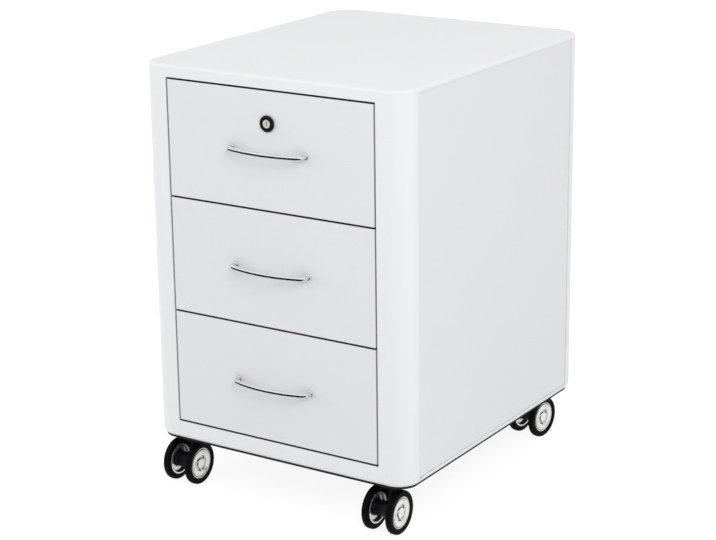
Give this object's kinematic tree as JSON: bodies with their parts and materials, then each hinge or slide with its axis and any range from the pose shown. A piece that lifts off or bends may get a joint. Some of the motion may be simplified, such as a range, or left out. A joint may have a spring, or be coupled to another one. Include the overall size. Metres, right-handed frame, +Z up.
{
  "type": "rolling drawer pedestal",
  "caption": "Rolling pedestal chest of drawers: a round-cornered white steel case, three inset drawers with bow handles, a cam lock in the top drawer and swivelling twin-wheel castors.",
  "frame": {"origin": "on the floor, below the centre of the whole object's plan, handles included", "axes": "+Z up, the drawers open towards -Y, +X to the right of someone who faces the drawers"},
  "size_m": [0.4, 0.495, 0.5775],
  "materials": {
    "case_enamel": "white satin powder coat",
    "panel_enamel": "slightly greyer white satin powder coat",
    "tray_enamel": "pale grey powder coat",
    "base_black": "dark textured powder coat",
    "zinc_steel": "zinc plated",
    "handle_chrome": "polished chrome",
    "lock_black": "glossy black",
    "lock_steel": "nickel plated",
    "castor_nylon": "black moulded nylon",
    "castor_plate_steel": "dark zinc plated",
    "wheel_chrome": "chrome plated dished disc",
    "tyre_rubber": "black soft tread"
  },
  "bodies": {
    "case": {"top_panel": "case_enamel", "front_posts": "case_enamel", "rear_posts": "case_enamel", "left_side_panel": "panel_enamel", "right_side_panel": "panel_enamel", "back_panel": "case_enamel", "base_frame": "case_enamel", "base_plate": "base_black", "runner_uprights": "case_enamel", "lock_strike": "zinc_steel", "case_runners": "zinc_steel", "castor_plates": "castor_plate_steel", "castor_screws": "zinc_steel"},
    "drawer_1": {"drawer_front_1": "panel_enamel", "drawer_tray_1": "tray_enamel", "handle_1": "handle_chrome", "handle_screws_1": "zinc_steel", "drawer_runners_1": "zinc_steel", "lock_barrel": "lock_black", "lock_nut": "zinc_steel"},
    "middle_slide_1": {"middle_runners_1": "zinc_steel"},
    "drawer_2": {"drawer_front_2": "panel_enamel", "drawer_tray_2": "tray_enamel", "handle_2": "handle_chrome", "handle_screws_2": "zinc_steel", "drawer_runners_2": "zinc_steel"},
    "middle_slide_2": {"middle_runners_2": "zinc_steel"},
    "drawer_3": {"drawer_front_3": "panel_enamel", "drawer_tray_3": "tray_enamel", "handle_3": "handle_chrome", "handle_screws_3": "zinc_steel", "drawer_runners_3": "zinc_steel"},
    "middle_slide_3": {"middle_runners_3": "zinc_steel"},
    "lock_core": {"lock_plug": "lock_steel", "lock_cam": "zinc_steel", "cam_nut": "zinc_steel"},
    "castor_front_left": {"castor_yoke_front_left": "castor_nylon", "axle_front_left": "zinc_steel"},
    "wheel_front_left_l": {"wheel_front_left_l": "wheel_chrome", "tyre_front_left_l": "tyre_rubber"},
    "wheel_front_left_r": {"wheel_front_left_r": "wheel_chrome", "tyre_front_left_r": "tyre_rubber"},
    "castor_front_right": {"castor_yoke_front_right": "castor_nylon", "axle_front_right": "zinc_steel"},
    "wheel_front_right_l": {"wheel_front_right_l": "wheel_chrome", "tyre_front_right_l": "tyre_rubber"},
    "wheel_front_right_r": {"wheel_front_right_r": "wheel_chrome", "tyre_front_right_r": "tyre_rubber"},
    "castor_rear_left": {"castor_yoke_rear_left": "castor_nylon", "axle_rear_left": "zinc_steel"},
    "wheel_rear_left_l": {"wheel_rear_left_l": "wheel_chrome", "tyre_rear_left_l": "tyre_rubber"},
    "wheel_rear_left_r": {"wheel_rear_left_r": "wheel_chrome", "tyre_rear_left_r": "tyre_rubber"},
    "castor_rear_right": {"castor_yoke_rear_right": "castor_nylon", "axle_rear_right": "zinc_steel"},
    "wheel_rear_right_l": {"wheel_rear_right_l": "wheel_chrome", "tyre_rear_right_l": "tyre_rubber"},
    "wheel_rear_right_r": {"wheel_rear_right_r": "wheel_chrome", "tyre_rear_right_r": "tyre_rubber"}
  },
  "joints": [
    {"name": "drawer_1_slide", "type": "slide", "parent": "case", "child": "drawer_1", "axis": [0, -1, 0], "range_m": [0, 0.38]},
    {"name": "middle_slide_1_slide", "type": "slide", "parent": "case", "child": "middle_slide_1", "axis": [0, -1, 0], "range_m": [0, 0.19]},
    {"name": "drawer_2_slide", "type": "slide", "parent": "case", "child": "drawer_2", "axis": [0, -1, 0], "range_m": [0, 0.38]},
    {"name": "middle_slide_2_slide", "type": "slide", "parent": "case", "child": "middle_slide_2", "axis": [0, -1, 0], "range_m": [0, 0.19]},
    {"name": "drawer_3_slide", "type": "slide", "parent": "case", "child": "drawer_3", "axis": [0, -1, 0], "range_m": [0, 0.38]},
    {"name": "middle_slide_3_slide", "type": "slide", "parent": "case", "child": "middle_slide_3", "axis": [0, -1, 0], "range_m": [0, 0.19]},
    {"name": "lock_turn", "type": "hinge", "parent": "drawer_1", "child": "lock_core", "pos_m": [0, -0.2245, 0.518], "axis": [0, -1, 0], "range_deg": [0, 90]},
    {"name": "castor_front_left_swivel", "type": "hinge", "parent": "case", "child": "castor_front_left", "pos_m": [-0.159, -0.1855, 0.06], "axis": [0, 0, 1], "continuous": true},
    {"name": "wheel_front_left_l_spin", "type": "hinge", "parent": "castor_front_left", "child": "wheel_front_left_l", "pos_m": [-0.17675, -0.206, 0.029], "axis": [1, 0, 0], "continuous": true},
    {"name": "wheel_front_left_r_spin", "type": "hinge", "parent": "castor_front_left", "child": "wheel_front_left_r", "pos_m": [-0.14125, -0.206, 0.029], "axis": [1, 0, 0], "continuous": true},
    {"name": "castor_front_right_swivel", "type": "hinge", "parent": "case", "child": "castor_front_right", "pos_m": [0.159, -0.1855, 0.06], "axis": [0, 0, 1], "continuous": true},
    {"name": "wheel_front_right_l_spin", "type": "hinge", "parent": "castor_front_right", "child": "wheel_front_right_l", "pos_m": [0.14125, -0.206, 0.029], "axis": [1, 0, 0], "continuous": true},
    {"name": "wheel_front_right_r_spin", "type": "hinge", "parent": "castor_front_right", "child": "wheel_front_right_r", "pos_m": [0.17675, -0.206, 0.029], "axis": [1, 0, 0], "continuous": true},
    {"name": "castor_rear_left_swivel", "type": "hinge", "parent": "case", "child": "castor_rear_left", "pos_m": [-0.159, 0.2085, 0.06], "axis": [0, 0, 1], "continuous": true},
    {"name": "wheel_rear_left_l_spin", "type": "hinge", "parent": "castor_rear_left", "child": "wheel_rear_left_l", "pos_m": [-0.17451, 0.18626, 0.029], "axis": [0.9945, 0.1045, 0], "continuous": true},
    {"name": "wheel_rear_left_r_spin", "type": "hinge", "parent": "castor_rear_left", "child": "wheel_rear_left_r", "pos_m": [-0.1392, 0.18997, 0.029], "axis": [0.9945, 0.1045, 0], "continuous": true},
    {"name": "castor_rear_right_swivel", "type": "hinge", "parent": "case", "child": "castor_rear_right", "pos_m": [0.159, 0.2085, 0.06], "axis": [0, 0, 1], "continuous": true},
    {"name": "wheel_rear_right_l_spin", "type": "hinge", "parent": "castor_rear_right", "child": "wheel_rear_right_l", "pos_m": [0.13888, 0.19032, 0.029], "axis": [0.9925, -0.1219, 0], "continuous": true},
    {"name": "wheel_rear_right_r_spin", "type": "hinge", "parent": "castor_rear_right", "child": "wheel_rear_right_r", "pos_m": [0.17412, 0.18599, 0.029], "axis": [0.9925, -0.1219, 0], "continuous": true}
  ],
  "couplings": [
    {"joint": "middle_slide_1_slide", "follows": "drawer_1_slide", "ratio": 0.5},
    {"joint": "middle_slide_2_slide", "follows": "drawer_2_slide", "ratio": 0.5},
    {"joint": "middle_slide_3_slide", "follows": "drawer_3_slide", "ratio": 0.5}
  ]
}
